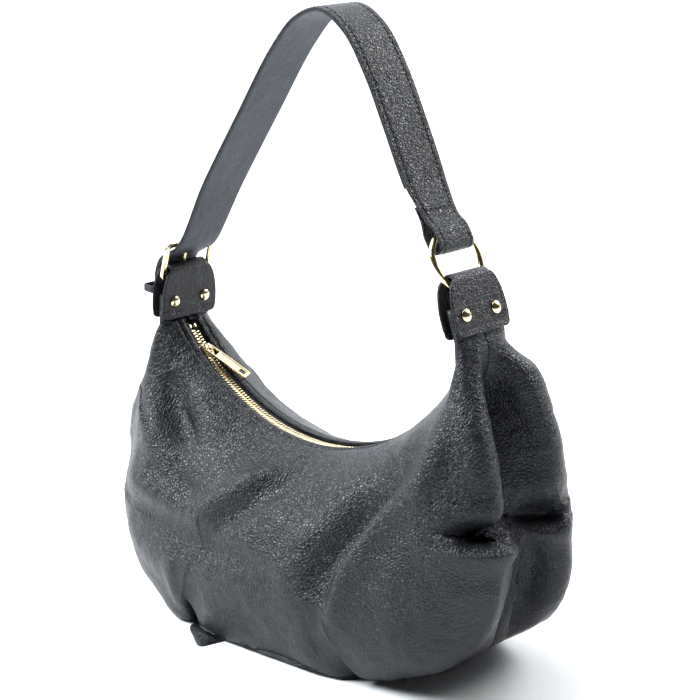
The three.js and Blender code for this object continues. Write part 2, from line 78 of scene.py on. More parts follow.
WIRE = 2.2
RING_RADIUS = 21.8
RING_LEAN = -26
RING_LOW = 29
BUCKLE_LEAN = 19
BUCKLE_HEIGHT = 28
BUCKLE_HALF_WIDTH = 24.5
BUCKLE_THICKNESS = 3.4
HEEL_HEIGHT = 32

STRAP_HALF_WIDTH = 17
STRAP_OUTER = 1.8
STRAP_INNER = 1.4
STRAP_END_LEAN = -30
LOOP_HALF_GAP = 4.2
LOOP_REACH = 9.4
STRAP_OUTSIDE = -11.6

PULL_LENGTH = 38
PULL_HALF_WIDTH = 4.3
PULL_REST = 9
PULL_YAW = 20
PULL_HEIGHT = 4.4

# ---- curves and meshes --------------------------------------------------------------


def rad(degrees):
    return math.radians(degrees)


def smoothstep(value, low, high):
    t = np.clip((np.asarray(value, float) - low) / (high - low), 0, 1)
    return t * t * (3 - 2 * t)


def curve(points, count):
    """A centripetal Catmull-Rom line through the points, at even steps of its parameter."""
    p = np.array(points, float)
    p = np.vstack([2 * p[0] - p[1], p, 2 * p[-1] - p[-2]])
    gaps = np.maximum(np.linalg.norm(np.diff(p, axis=0), axis=1), 1e-6) ** 0.5
    u = np.linspace(0, len(points) - 1, count)
    i = np.minimum(u.astype(int), len(points) - 2)
    w = (u - i)[:, None]
    a, b, c, d = p[i], p[i + 1], p[i + 2], p[i + 3]
    g0, g1, g2 = (gaps[i + k][:, None] for k in range(3))
    start = ((b - a) / g0 - (c - a) / (g0 + g1) + (c - b) / g1) * g1
    stop = ((c - b) / g1 - (d - b) / (g1 + g2) + (d - c) / g2) * g1
    square, cube = 3 * (c - b) - 2 * start - stop, 2 * (b - c) + start + stop
    return b + start * w + square * w ** 2 + cube * w ** 3


def even(line, count):
    """The same line with its points evenly spaced along its length."""
    line = np.array(line, float)
    along = np.concatenate([[0], np.cumsum(np.linalg.norm(np.diff(line, axis=0), axis=1))])
    at = np.linspace(0, along[-1], count)
    return np.stack([np.interp(at, along, line[:, k]) for k in range(line.shape[1])], axis=1)


def length_of(line):
    return float(np.linalg.norm(np.diff(np.array(line, float), axis=0), axis=1).sum())


def tangents(line):
    t = np.gradient(np.array(line, float), axis=0)
    return t / np.linalg.norm(t, axis=1)[:, None]


def piece(name, points, faces, material, smooth=True):
    """A mesh object from points in millimetres."""
    mesh = bpy.data.meshes.new(name)
    mesh.from_pydata((np.array(points, float) * MM).tolist(), [], [list(map(int, f)) for f in faces])
    mesh.materials.append(material)
    mesh.polygons.foreach_set("use_smooth", [smooth] * len(mesh.polygons))
    mesh.update()
    made = bpy.data.objects.new(name, mesh)
    bpy.context.scene.collection.objects.link(made)
    return made


def grid_faces(rows, columns, ring=False, start=0):
    faces = []
    for r in range(rows - 1):
        for c in range(columns if ring else columns - 1):
            n = (c + 1) % columns
            faces.append((start + r * columns + c, start + r * columns + n,
                          start + (r + 1) * columns + n, start + (r + 1) * columns + c))
    return faces


class Builder:
    """Gathers solids into one mesh."""

    def __init__(self):
        self.points = []
        self.faces = []

    def add(self, points, faces):
        start = len(self.points)
        self.points.extend(np.array(points, float).tolist())
        self.faces.extend(tuple(start + i for i in f) for f in faces)

    def loft(self, rings, closed=False):
        """A closed solid through rings of points: each ring is a loop."""
        rings = np.array(rings, float)
        rows, columns = rings.shape[:2]
        faces = grid_faces(rows, columns, ring=True)
        if closed:
            last = (rows - 1) * columns
            for c in range(columns):
                n = (c + 1) % columns
                faces.append((last + c, last + n, n, c))
        else:
            faces.append(tuple(reversed(range(columns))))
            faces.append(tuple((rows - 1) * columns + c for c in range(columns)))
        self.add(rings.reshape(-1, 3), faces)

    def make(self, name, material, smooth=True):
        made = piece(name, self.points, self.faces, material, smooth)
        face_out(made)
        return made


def face_out(made):
    """Turns a mesh's faces outward."""
    work = bmesh.new()
    work.from_mesh(made.data)
    bmesh.ops.recalc_face_normals(work, faces=work.faces)
    work.to_mesh(made.data)
    work.free()


def solid(name, material, rings, closed=False):
    """A piece of one loft."""
    builder = Builder()
    builder.loft(rings, closed)
    return builder.make(name, material)


def dress(made, body, node):
    """The piece rides on a body, and stands for a CAD node if one is given."""
    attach(made, body)
    if node:
        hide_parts(node)


def modifier(made, kind, **settings):
    added = made.modifiers.new(kind.title(), kind)
    for key, value in settings.items():
        setattr(added, key, value)
    return added


def tube(line, section, up=(0, 1, 0), closed=False):
    """Rings of a section [across, along up] swept along a line."""
    line = np.array(line, float)
    if closed:
        t = np.roll(line, -1, axis=0) - np.roll(line, 1, axis=0)
        t /= np.linalg.norm(t, axis=1)[:, None]
    else:
        t = tangents(line)
    up = np.broadcast_to(np.array(up, float), line.shape)
    side = np.cross(up, t)
    side /= np.linalg.norm(side, axis=1)[:, None]
    over = np.cross(t, side)
    section = np.array(section, float)
    if section.ndim == 2:
        section = np.broadcast_to(section, (len(line),) + section.shape)
    return line[:, None] + section[..., :1] * side[:, None] + section[..., 1:] * over[:, None]


def full_turn(count):
    return np.linspace(0, 2 * math.pi, count, endpoint=False)


def circle(radius, count=16, squash=1.0):
    a = full_turn(count)
    return np.stack([radius * np.cos(a), radius * squash * np.sin(a)], axis=1)


def rounded(half_x, half_y, corner, steps=4):
    """A rectangle with round corners, as a loop."""
    loop = []
    for k, (sx, sy) in enumerate([(1, 1), (-1, 1), (-1, -1), (1, -1)]):
        for s in range(steps + 1):
            a = math.pi / 2 * (k + s / steps)
            loop.append((sx * (half_x - corner) + corner * math.cos(a),
                         sy * (half_y - corner) + corner * math.sin(a)))
    return np.array(loop)


def turned(profile, count=40):
    """Rings about Z of a [radius, height] profile."""
    a = full_turn(count)
    return [[(r * math.cos(t), r * math.sin(t), h) for t in a] for r, h in profile]


def placed(points, at, lean=0.0):
    """Points of a piece's own frame, leant in the XZ plane and moved to a place [x, z]."""
    p = np.array(points, float)
    c, s = math.cos(rad(lean)), math.sin(rad(lean))
    x = at[0] + p[..., 0] * c + p[..., 2] * s
    z = at[1] - p[..., 0] * s + p[..., 2] * c
    return np.stack([x, p[..., 1], z], axis=-1)


def in_tab(points, tab):
    return placed(points, tab[:2], tab[2])


def wobble(points, scale, seed=0.0):
    """Smooth noise, -1 to 1, at points in millimetres."""
    flat = np.array(points, float).reshape(-1, 3) / scale + seed
    return np.array([noise.noise(Vector(p)) for p in flat]).reshape(np.array(points).shape[:-1])


def zip_point(angle, radius=ZIP_RADIUS):
    return (ZIP_CENTRE[0] + radius * math.sin(rad(angle)), ZIP_CENTRE[1] - radius * math.cos(rad(angle)))


def tab_point(tab, x, z):
    x0, z0, lean = tab
    return (x0 + x * math.cos(rad(lean)) + z * math.sin(rad(lean)),
            z0 - x * math.sin(rad(lean)) + z * math.cos(rad(lean)))


# ---- materials ----------------------------------------------------------------------


class Look:
    """A Principled material with helpers for its nodes."""

    def __init__(self, name, color, roughness, metallic=0.0):
        self.material = bpy.data.materials.new(name)
        self.material.use_nodes = True
        self.nodes = self.material.node_tree.nodes
        self.links = self.material.node_tree.links
        self.shader = self.nodes["Principled BSDF"]
        self.shader.inputs["Base Color"].default_value = (*color, 1)
        self.shader.inputs["Roughness"].default_value = roughness
        self.shader.inputs["Metallic"].default_value = metallic
        self.place = self.node("ShaderNodeTexCoord").outputs["Object"]
        self.height = None

    def node(self, kind, **inputs):
        made = self.nodes.new(kind)
        for key, value in inputs.items():
            self.fill(made.inputs[key.replace("_", " ")], value)
        return made

    def fill(self, socket, value):
        """Links a socket to a node's output, or gives it a number."""
        if isinstance(value, bpy.types.NodeSocket):
            self.links.new(value, socket)
        else:
            socket.default_value = value

    def math(self, operation, a, b=0.0):
        made = self.nodes.new("ShaderNodeMath")
        made.operation = operation
        for socket, value in zip(made.inputs, (a, b)):
            self.fill(socket, value)
        return made.outputs[0]

    def noise(self, scale, detail=2.0, place=None):
        return self.node("ShaderNodeTexNoise", Vector=place or self.place, Scale=scale, Detail=detail)

    def bent(self, amount, scale):
        """The place, shifted by noise."""
        shift = self.nodes.new("ShaderNodeMixRGB")
        shift.blend_type = "LINEAR_LIGHT"
        shift.inputs[0].default_value = amount
        self.links.new(self.place, shift.inputs[1])
        self.links.new(self.noise(scale).outputs["Color"], shift.inputs[2])
        return shift.outputs[0]

    def ramp(self, value, low, high, to_low=0.0, to_high=1.0):
        return self.node("ShaderNodeMapRange", Value=value, From_Min=low, From_Max=high,
                         To_Min=to_low, To_Max=to_high).outputs[0]

    def bump(self, height, distance, strength=1.0):
        made = self.node("ShaderNodeBump", Height=height, Strength=strength)
        made.inputs["Distance"].default_value = distance
        if self.height is not None:
            self.links.new(self.height, made.inputs["Normal"])
        self.height = made.outputs[0]
        self.links.new(self.height, self.shader.inputs["Normal"])

    def mix(self, factor, first, second, target="Base Color"):
        made = self.nodes.new("ShaderNodeMixRGB")
        self.links.new(factor, made.inputs[0])
        made.inputs[1].default_value = (*first, 1)
        made.inputs[2].default_value = (*second, 1)
        self.links.new(made.outputs[0], self.shader.inputs[target])

    def roughen(self, value):
        self.links.new(value, self.shader.inputs["Roughness"])


def leather(name, dark, light, cell, depth, rough=(0.36, 0.52)):
    """Grained leather: pebbles a cell wide, creases between them with painted shade in their colour, and
    uneven sheen.
    """
    look = Look(name, dark, rough[0])
    pebbles = look.nodes.new("ShaderNodeTexVoronoi")
    pebbles.feature = "DISTANCE_TO_EDGE"
    pebbles.inputs["Scale"].default_value = 1 / (cell * MM)
    look.links.new(look.bent(0.0009 * cell, 0.5 / (cell * MM)), pebbles.inputs["Vector"])
    rise = look.ramp(pebbles.outputs["Distance"], 0.0, 0.3)
    rounded_rise = look.math("POWER", rise, 0.75)
    pores = look.noise(1.6 / (cell * MM), 3).outputs[0]
    swell = look.noise(90, 2).outputs[0]
    look.bump(swell, 0.0016, 0.6)
    look.bump(look.math("ADD", rounded_rise, look.math("MULTIPLY", pores, 0.15)), depth * MM)
    # painted shade: the base colour is darkest in the creases between pebbles and lightest on their
    # tops, with a random tone from the swell noise
    look.mix(look.math("MULTIPLY", look.ramp(swell, 0.3, 0.7, 0.4, 1.0), rounded_rise), dark, light)
    uneven = look.math("ADD", rise, look.noise(40).outputs[0])
    look.roughen(look.ramp(uneven, 0.4, 1.6, rough[1], rough[0]))
    look.shader.inputs["Specular IOR Level"].default_value = 0.33
    return look.material


def edge_paint():
    look = Look("edge_paint", (0.02, 0.021, 0.025), 0.5)
    look.bump(look.noise(900, 3).outputs[0], 0.0001)
    look.mix(look.noise(60).outputs[0], (0.012, 0.012, 0.015), (0.03, 0.032, 0.038))
    return look.material


def thread():
    look = Look("thread", (0.012, 0.012, 0.014), 0.6)
    look.bump(look.noise(4000, 2).outputs[0], 0.00008)
    look.mix(look.noise(300).outputs[0], (0.008, 0.008, 0.01), (0.022, 0.022, 0.026))
    return look.material


def woven(name, dark, light, pitch, depth):
    """Cloth with ribs in two directions, from crossed waves."""
    look = Look(name, dark, 0.85)
    waves = []
    for direction in ("X", "Y", "Z"):
        wave = look.node("ShaderNodeTexWave", Vector=look.bent(0.00008, 300), Scale=0.31 / (pitch * MM))
        wave.bands_direction = direction
        waves.append(wave.outputs["Fac"])
    weave = look.math("ADD", look.math("MULTIPLY", waves[0], waves[1]),
                      look.math("MULTIPLY", waves[1], waves[2]))
    look.bump(weave, depth * MM)
    look.mix(look.math("MULTIPLY", weave, look.noise(500).outputs[0]), dark, light)
    look.shader.inputs["Sheen Weight"].default_value = 0.2
    return look.material


def gold(name="pale_gold", rough=0.16):
    look = Look(name, (0.86, 0.70, 0.42), rough, 1.0)
    look.bump(look.noise(220, 2).outputs[0], 0.00012, 0.35)
    look.bump(look.noise(2600, 3).outputs[0], 0.00002, 0.4)
    look.mix(look.noise(150).outputs[0], (0.80, 0.63, 0.35), (0.92, 0.78, 0.50))
    look.roughen(look.ramp(look.noise(700, 4).outputs[0], 0.3, 0.75, rough - 0.05, rough + 0.12))
    return look.material


BODY_LEATHER = leather(
    "pebbled_leather", (0.003, 0.0035, 0.005), (0.012, 0.014, 0.019), 2.3, 0.32, (0.31, 0.44))
TAB_LEATHER_LOOK = leather(
    "tab_leather", (0.006, 0.006, 0.008), (0.016, 0.016, 0.020), 2.2, 0.34, (0.34, 0.46))
STRAP_FACE = leather("strap_face", (0.005, 0.0055, 0.007), (0.019, 0.020, 0.024), 2.3, 0.6, (0.30, 0.42))
# painted highlight: the strap's back leather has a lighter, bluer base colour than its face, standing in
# for the soft bluish-grey highlight on the strap's inner side
STRAP_BACK = leather("strap_back", (0.016, 0.020, 0.028), (0.030, 0.037, 0.050), 1.4, 0.12, (0.46, 0.58))
EDGE = edge_paint()
THREAD = thread()
TAPE = woven("zip_tape_cloth", (0.006, 0.006, 0.007), (0.02, 0.02, 0.024), 0.7, 0.12)
CLOTH = woven("lining_cloth", (0.05, 0.046, 0.042), (0.10, 0.095, 0.088), 0.5, 0.06)
GOLD = gold()
TEETH_GOLD = gold("tooth_gold", 0.22)

# ---- the soft body ------------------------------------------------------------------

BASE_LIFT = 2.8
STATION_COUNT = 620
ROW_COUNT = 130
EDGE_SEAM_ROW = 9
END_SLICES = 14  # slices at each end that the edge seam and the lining leave out
SEAM_HALF_GAP = 0.4
ALLOWANCE = 7.0
OFF_BASE = 2  # a slice that ends this near the middle ends in the end seam, not at the base
PANEL_THICKNESS = 1.6
LINING_TOP = 26
LINING_NEAR = 5
LINING_INSET = 30
POCKET_INSET = 33
SILHOUETTE = [
    tab_point(LEFT_TAB, -TAB_CHANNEL - 1, -6),
    (-176, 178), (-191, 140), (-BODY_HALF_LENGTH, 98), (-189, 60), (-160, 27),
    (-BASE_HALF_LENGTH, BASE_LIFT), (-46, BASE_LIFT), (0, BASE_LIFT), (46, BASE_LIFT),
    (BASE_HALF_LENGTH, BASE_LIFT),
    (162, 29), (188, 64), (BODY_HALF_LENGTH - 3, 106), (186, 156), (170, 204),
    tab_point(RIGHT_TAB, TAB_CHANNEL + 1, -6),
]


def base_half_depth(x):
    along = min(abs(x) / BASE_HALF_LENGTH, 1)
    return BASE_HALF_DEPTH * (1 - along ** 8) ** 0.4


def stations(count):
    """Slices across the bag: mouth point, outline point, half-width, foot and crease."""
    outline = even(curve(SILHOUETTE, 600), count)
    made = []
    for i, (x, z) in enumerate(outline):
        z = max(z, BASE_LIFT)
        along = i / (count - 1)
        ends = sum(smoothstep(a, 0, 0.07) * (1 - smoothstep(a, 0.24, 0.32)) for a in (along, 1 - along))
        angle = -ZIP_END - 1 + 2 * (ZIP_END + 1) * along
        on_base = smoothstep(BASE_HALF_LENGTH - abs(x), 0, 6) if z < BASE_LIFT + 1 else 0.0
        made.append({
            "a": np.array(zip_point(angle, ZIP_RADIUS - RISE)),
            "b": np.array([x, z]),
            "width": TONGUE_HALF_WIDTH
            + (BODY_HALF_DEPTH - TONGUE_HALF_WIDTH) * math.sin(math.pi * along) ** 0.9,
            "foot": float(on_base) * base_half_depth(x),
            "crease": CREASE_DEPTH * float(ends),
            "low": 1 - float(smoothstep(z, 20, 60)),
        })
    made[0]["width"] = made[-1]["width"] = TONGUE_HALF_WIDTH
    return made


def slice_line(s, rows, inset=0.0):
    """One slice as [t, y]: t runs from the mouth to the outline, y away from the middle."""
    length = float(np.linalg.norm(s["b"] - s["a"]))
    w = s["width"] - inset
    foot = max(s["foot"] - 1.5 * inset, 0)
    opened = min(foot / 20, 1)
    start = LINING_TOP if inset else 0
    near = LINING_NEAR if inset else MOUTH_HALF
    end = length - inset
    creased = s["crease"] / CREASE_DEPTH
    late = w * (0.9 + 0.06 * s["low"])
    last = w * (0.45 + 0.11 * creased + 0.3 * s["low"] * (1 - 0.5 * creased))
    late += (max(foot + 8, w * 0.93) - late) * opened
    last += (foot + 2 - last) * opened
    line = curve([
        (start, near), (start + 1, near + 9), (length * 0.22 + start * 0.5, w * 0.76),
        (length * 0.55, w),
        (length * 0.84, late), (end, last), (end - s["crease"], max(foot, 0.5)),
    ], rows)
    line[:, 0] = np.minimum(line[:, 0], end)
    line[:, 1] = np.maximum(line[:, 1], SEAM_HALF_GAP)
    return line


def tongue(tab_place, rows, side):
    """The peak inside a tab: rows of a thick lobe from the tab's middle height to its lower edge."""
    lobe = []
    for z in (TONGUE_TOP, TONGUE_TOP * 0.75, TONGUE_TOP / 2, TONGUE_TOP / 4, 1, -2):
        x = side * np.linspace(1, -1, rows) * (TAB_CHANNEL - 0.5)
        y = TONGUE_HALF_WIDTH * np.sqrt(np.maximum(1 - np.linspace(-1, 1, rows) ** 4, 0.0004))
        lobe.append([(*tab_point(tab_place, a, z), b) for a, b in zip(x, y)])
    return np.array(lobe)[..., [0, 2, 1]]


def shell(rows, count, inset=0.0):
    """One side's surface as a grid of points with y positive."""
    made = []
    for s in stations(count):
        line = slice_line(s, rows, inset)
        way = (s["b"] - s["a"]) / np.linalg.norm(s["b"] - s["a"])
        x, z = s["a"][0] + way[0] * line[:, 0], s["a"][1] + way[1] * line[:, 0]
        made.append(np.stack([x, line[:, 1], z], axis=1))
    made = np.array(made)
    if inset:
        return made
    return np.concatenate([tongue(LEFT_TAB, rows, 1), made, tongue(RIGHT_TAB, rows, -1)[::-1]])


def grid_normals(p):
    n = np.cross(np.gradient(p, axis=0), np.gradient(p, axis=1))
    return n / np.maximum(np.linalg.norm(n, axis=2), 1e-9)[..., None]


def stroke(p, points, height, width, toward=(0, 0, 1), far_width=None):
    """How far a fold along a line of points moves each surface point: width on the toward side of
    the line and far_width on the other."""
    line = curve(points, 12 * len(points)) if len(points) > 2 else np.linspace(points[0], points[1], 24)
    flat = p.reshape(-1, 3)
    gap = flat[:, None] - line[None]
    distance = np.linalg.norm(gap, axis=2)
    nearest = distance.argmin(axis=1)
    rows = np.arange(len(flat))
    side = gap[rows, nearest] @ np.array(toward, float)
    reach = np.where(side > 0, width, far_width or width)
    fade = np.sin(np.pi * np.clip((nearest + 1.5) / (len(line) + 2), 0.0, 1.0)) ** 0.5
    return (height * fade * np.exp(-(distance[rows, nearest] / reach) ** 2)).reshape(p.shape[:2])


# Folds of the front: points, height (negative is a valley), width, and the side the width is on.
FRONT_FOLDS = [
    # the hollow under the zip's left stretch, and the soft ridge that ends it
    ([(-140, -30, 182), (-120, -44, 160), (-98, -58, 138)], -12, 14, (0, 0, 1), 18),
    ([(-160, -30, 168), (-134, -48, 142), (-104, -66, 126)], 6, 10, (0, 0, 1), 16),
    # the ridge and valley that run down from the middle of the zip
    ([(-4, -34, 133), (-30, -58, 116), (-62, -74, 96)], 5, 9, (1, 0, 0), 16),
    ([(8, -46, 126), (-16, -66, 108), (-46, -80, 88)], -7, 9, (1, 0, 0), 14),
    # the long deep fold on the right
    ([(118, -46, 152), (92, -60, 124), (76, -74, 96), (66, -84, 56)], -15, 9, (1, 0, 0), 18),
    ([(132, -46, 146), (108, -66, 118), (90, -78, 90), (80, -84, 58)], 6, 12, (1, 0, 0), 9),
    # the slouch crease across the front
    ([(-186, -30, 88), (-140, -62, 80), (-88, -80, 76), (-30, -86, 74), (20, -86, 66)],
     -7, 10, (0, 0, 1), 18),
    ([(-170, -50, 104), (-120, -72, 100), (-60, -84, 96)], 4, 12, (0, 0, 1), 10),
    # small dents between them
    ([(-96, -66, 118), (-78, -72, 104)], -4, 8, (0, 0, 1), 8),
    ([(24, -56, 118), (52, -62, 112)], -4, 10, (0, 0, 1), 12),
    ([(150, -44, 190), (146, -52, 164), (138, -62, 138)], 7, 12, (1, 0, 0), 12),
    # the left end's flank, drawn in below the fuller shoulder under the tab
    ([(-158, -40, 200), (-172, -50, 178), (-182, -54, 150), (-184, -56, 110), (-176, -60, 80)],
     -8, 26, (0, 0, 1), 26),
    ([(-162, -20, 228), (-170, -30, 208)], 5, 12, (0, 0, 1), 12),
    # the corner filled out where the panel leaves the base
    ([(-126, -46, 24), (-106, -58, 12), (-92, -66, 4)], 9, 13, (0, 0, 1), 13),
    ([(-96, -76, 56), (-92, -74, 30), (-90, -70, 14)], 3, 9, (1, 0, 0), 9),
]

# Folds of the right end, both lobes: the tucks over the lower cup and the folds beside the seam.
RIGHT_END_FOLDS = [
    ([(172, -66, 123), (185, -48, 120), (190, -28, 119), (188, -8, 122)], -25, 10, (0, 0, 1), 3),
    ([(174, -66, 115), (190, -46, 112), (195, -26, 111), (191, -6, 114)], 7, 3, (0, 0, 1), 11),
    ([(172, 5, 122), (181, 14, 118), (190, 24, 118), (193, 36, 125)], -13, 14, (0, 0, 1), 4),
    ([(172, 5, 115), (181, 14, 110), (191, 24, 110), (194, 36, 116)], 5, 3, (0, 0, 1), 10),
    ([(186, 8, 100), (178, 10, 62), (166, 12, 30)], -14, 12, (0, 1, 0), 5),
    ([(190, -8, 104), (182, -8, 66), (168, -8, 28)], 8, 3.5, (0, 1, 0), 16),
    # the full cheeks on both sides of the crease
    ([(166, -26, 214), (176, -34, 180), (184, -36, 148)], 5, 11, (0, 1, 0), 14),
    ([(166, 26, 214), (178, 32, 180), (186, 34, 148)], 5, 14, (0, 1, 0), 11),
]

LEFT_END_FOLDS = [
    ([(-164, -66, 124), (-180, -50, 114), (-190, -30, 108), (-190, -10, 108)], -3, 12, (0, 0, 1), 10),
    ([(-170, 62, 118), (-188, 44, 112), (-194, 24, 112), (-188, 8, 116)], -7, 10, (0, 0, 1), 7),
    ([(-182, -10, 84), (-172, -12, 50), (-160, -12, 26)], -7, 8, (0, 1, 0), 6),
]

BACK_FOLDS = [
    # the right end's fuller flank
    ([(158, 24, 238), (166, 36, 215), (176, 46, 190)], 11, 18, (0, 0, 1), 18),
    ([(170, 50, 200), (180, 54, 170), (188, 52, 135)], 6, 24, (0, 0, 1), 24),
    ([(-140, 40, 176), (-96, 62, 150), (-50, 74, 122)], 6, 12, (0, 0, 1), 16),
    ([(-138, 26, 212), (-108, 40, 184), (-76, 52, 162), (-40, 62, 140)], 9, 18, (0, 0, 1), 20),
    ([(118, 46, 156), (88, 64, 122), (70, 80, 80)], -10, 11, (1, 0, 0), 16),
    ([(20, 50, 128), (-16, 70, 104), (-40, 82, 78)], -7, 10, (1, 0, 0), 14),
    ([(-176, 44, 88), (-110, 78, 80), (-40, 86, 76), (30, 86, 72)], -6, 10, (0, 0, 1), 16),
]


def panel_points(side):
    p = shell(ROW_COUNT, STATION_COUNT)
    p[..., 1] *= side
    n = grid_normals(p) * -side
    if np.mean(n[..., 1] * side) < 0:
        n = -n
    folds = (FRONT_FOLDS if side < 0 else BACK_FOLDS) + RIGHT_END_FOLDS + LEFT_END_FOLDS
    push = sum(stroke(p, *fold) for fold in folds)
    rows = np.arange(ROW_COUNT) / (ROW_COUNT - 1)
    free = smoothstep(rows, 0.05, 0.28)[None, :]
    along = np.arange(len(p)) / (len(p) - 1)
    free = free * (smoothstep(along, 0, 0.05) * (1 - smoothstep(along, 0.95, 1)))[:, None]
    from_edge = np.linalg.norm(p - p[:, :1], axis=2)
    rim = 0.9 * np.exp(-((from_edge - 2.2) / 1.5) ** 2) - 0.8 * np.exp(-((from_edge - 5.4) / 1.1) ** 2)
    soft = 2.4 * wobble(p, 46, 3.1) + 0.9 * wobble(p, 19, 7.7) + 0.3 * wobble(p, 8, 1.3)
    still = p[..., 1].copy()
    p = p + n * (free * (push + soft) + rim)[..., None]
    # the seam down each end stays closed under the folds
    sewn = smoothstep(rows, 0.93, 0.99)[None, :] * (np.abs(still[:, -1:]) < OFF_BASE)
    p[..., 1] += sewn * (still - p[..., 1])
    p[..., 1] = side * np.maximum(side * p[..., 1], SEAM_HALF_GAP)
    p[..., 2] = np.maximum(p[..., 2], 1.0)
    return p


def body_panel(name, node, side):
    p = panel_points(side)
    # the leather turns under at the zip
    edge = p[:, 0].copy()
    turn = []
    for drop, back in ((4.0, 0.6), (1.2, -0.2), (0.2, 0.2)):
        under = edge.copy()
        under[:, 1] += side * back
        under[:, 2] -= drop
        turn.append(under)
    # and its seam allowance turns in behind the crease, against the other panel's
    inward = (p[:, 0] - p[:, -1]) * (1, 0, 1)
    inward /= np.linalg.norm(inward, axis=1)[:, None]
    hem = []
    for depth in (0.8, ALLOWANCE):
        row = p[:, -1] + inward * depth
        row[:, 1] = np.where(np.abs(row[:, 1]) < OFF_BASE, side * 0.05, row[:, 1])
        hem.append(row)
    full = np.concatenate([np.stack(turn, axis=1), p, np.stack(hem, axis=1)], axis=1)
    rows, columns = full.shape[:2]
    made = piece(name, full.reshape(-1, 3), grid_faces(rows, columns), BODY_LEATHER)
    face_out(made)
    if made.data.polygons[len(made.data.polygons) // 2].normal.y * side < 0:
        made.data.flip_normals()
    modifier(made, "SOLIDIFY", thickness=PANEL_THICKNESS * MM, offset=-1)
    dress(made, "bag", node)

    seam = p[END_SLICES:-END_SLICES, EDGE_SEAM_ROW]
    out = grid_normals(p)[END_SLICES:-END_SLICES, EDGE_SEAM_ROW]
    out = out * np.sign(out[:, 2:3])
    builder = Builder()
    stitches(builder, seam, out, 3.6, 0.32)
    sewn = builder.make(f"{name}_stitches", THREAD)
    dress(sewn, "bag", None)


def base():
    """The base, with soft corners and a rolled edge, and its corner that is pulled out."""
    rings = []
    for scale, height in ((0.02, 0.0), (0.5, 0.0), (0.97, 0.0), (0.995, 0.5), (1.0, 1.6), (0.99, 2.6),
                          (0.9, 3.0), (0.02, 3.0)):
        ring = []
        for k in range(96):
            a = 2 * math.pi * k / 96
            x = BASE_HALF_LENGTH * math.cos(a)
            y = math.copysign(base_half_depth(x) + 1.5, math.sin(a))
            ring.append((x * scale, y * scale, height))
        rings.append(ring)
    builder = Builder()
    builder.loft(rings)
    # the base's front left corner, pulled out from under the panel
    corner = curve([(-86, -64), (-84, -72), (-68, -83), (-50, -92), (-46, -82), (-42, -68)], 24)
    inside = np.stack([np.linspace(-78, -46, 24), np.full(24, -58.0)], axis=1)
    outline = np.vstack([corner, inside[::-1]])
    middle = outline.mean(axis=0)
    flap = []
    for scale, height in ((0.97, 0.1), (1.0, 0.4), (1.0, 1.2), (0.98, 1.7)):
        loop = middle + (outline - middle) * scale
        flap.append(np.c_[loop, height + 0.5 * wobble(np.c_[loop, np.zeros(len(loop))], 12, 4.0)])
    builder.loft(flap)
    made = builder.make("base_leather", BODY_LEATHER)
    dress(made, "bag", "base_panel")


def lining():
    p = shell(40, 120, LINING_INSET)[END_SLICES:-END_SLICES]
    both = np.concatenate([p * (1, -1, 1), p[:, ::-1][:, 1:]], axis=1)
    both[..., 2] = np.maximum(both[..., 2], 6)
    both[..., 1] += 1.5 * wobble(both, 30, 5.0)
    made = piece("lining_sack", both.reshape(-1, 3), grid_faces(*both.shape[:2]), CLOTH)
    face_out(made)
    modifier(made, "SOLIDIFY", thickness=1.0 * MM, offset=0)
    dress(made, "bag", "lining")

    middle = shell(40, 120, POCKET_INSET)[50:70, 14:32]
    middle[..., 1] += 0.8 * wobble(middle, 20, 9.0)
    pocket = piece("slip_pocket_cloth", middle.reshape(-1, 3), grid_faces(*middle.shape[:2]), CLOTH)
    face_out(pocket)
    modifier(pocket, "SOLIDIFY", thickness=0.8 * MM, offset=0)
    dress(pocket, "bag", "slip_pocket")


# ---- stitches -----------------------------------------------------------------------


def stitches(builder, line, normals, pitch=4.2, thread_radius=0.38, raised=0.1):
    """Short rounded stitches that dip at both ends, along a line on a surface."""
    line = np.array(line, float)
    count = max(int(length_of(line) / pitch), 2)
    along = np.concatenate([[0], np.cumsum(np.linalg.norm(np.diff(line, axis=0), axis=1))])
    normals = np.broadcast_to(np.array(normals, float), line.shape)
    for k in range(count):
        at = along[-1] * (k + np.linspace(0.1, 0.9, 6)) / count
        path = np.stack([np.interp(at, along, line[:, i]) for i in range(3)], axis=1)
        out = np.stack([np.interp(at, along, normals[:, i]) for i in range(3)], axis=1)
        lift = np.array([-0.35, 0.05, raised, raised, 0.05, -0.35])
        path = path + out * lift[:, None]
        size = np.array([0.5, 0.95, 1, 1, 0.95, 0.5])[:, None, None]
        builder.loft(tube(path, circle(thread_radius, 8)[None] * size, up=out))


# ---- the zip ------------------------------------------------------------------------

TOOTH_PITCH = 2.6
TAPE_SECTION = [(1.6, 0.0), (3.4, 0.3), (4.6, 0.0), (8.0, -0.3), (11.5, 0.2)]


def arc_frames(angles):
    """Points of the zip's arc and its outward direction, away from the bag."""
    line = np.array([(zip_point(a)[0], 0, zip_point(a)[1]) for a in angles])
    out = np.array([(-math.sin(rad(a)), 0, math.cos(rad(a))) for a in angles])
    return line, out


def tooth(builder, at, out, along, side):
    """One cast tooth: a body on the tape and a round head that crosses the middle."""
    heads = [(3.7, 0.5, 1.2), (3.2, 0.6, 1.35), (2.0, 0.58, 1.3), (0.9, 0.55, 1.2), (0.1, 0.62, 1.1),
             (-0.6, 0.45, 0.8)]
    across = np.array([0, side, 0.0])
    rings = []
    for y, half_long, half_high in heads:
        loop = rounded(half_long, half_high, 0.3, 2)
        rings.append([at + across * y + along * a + out * h for a, h in loop])
    builder.loft(rings)


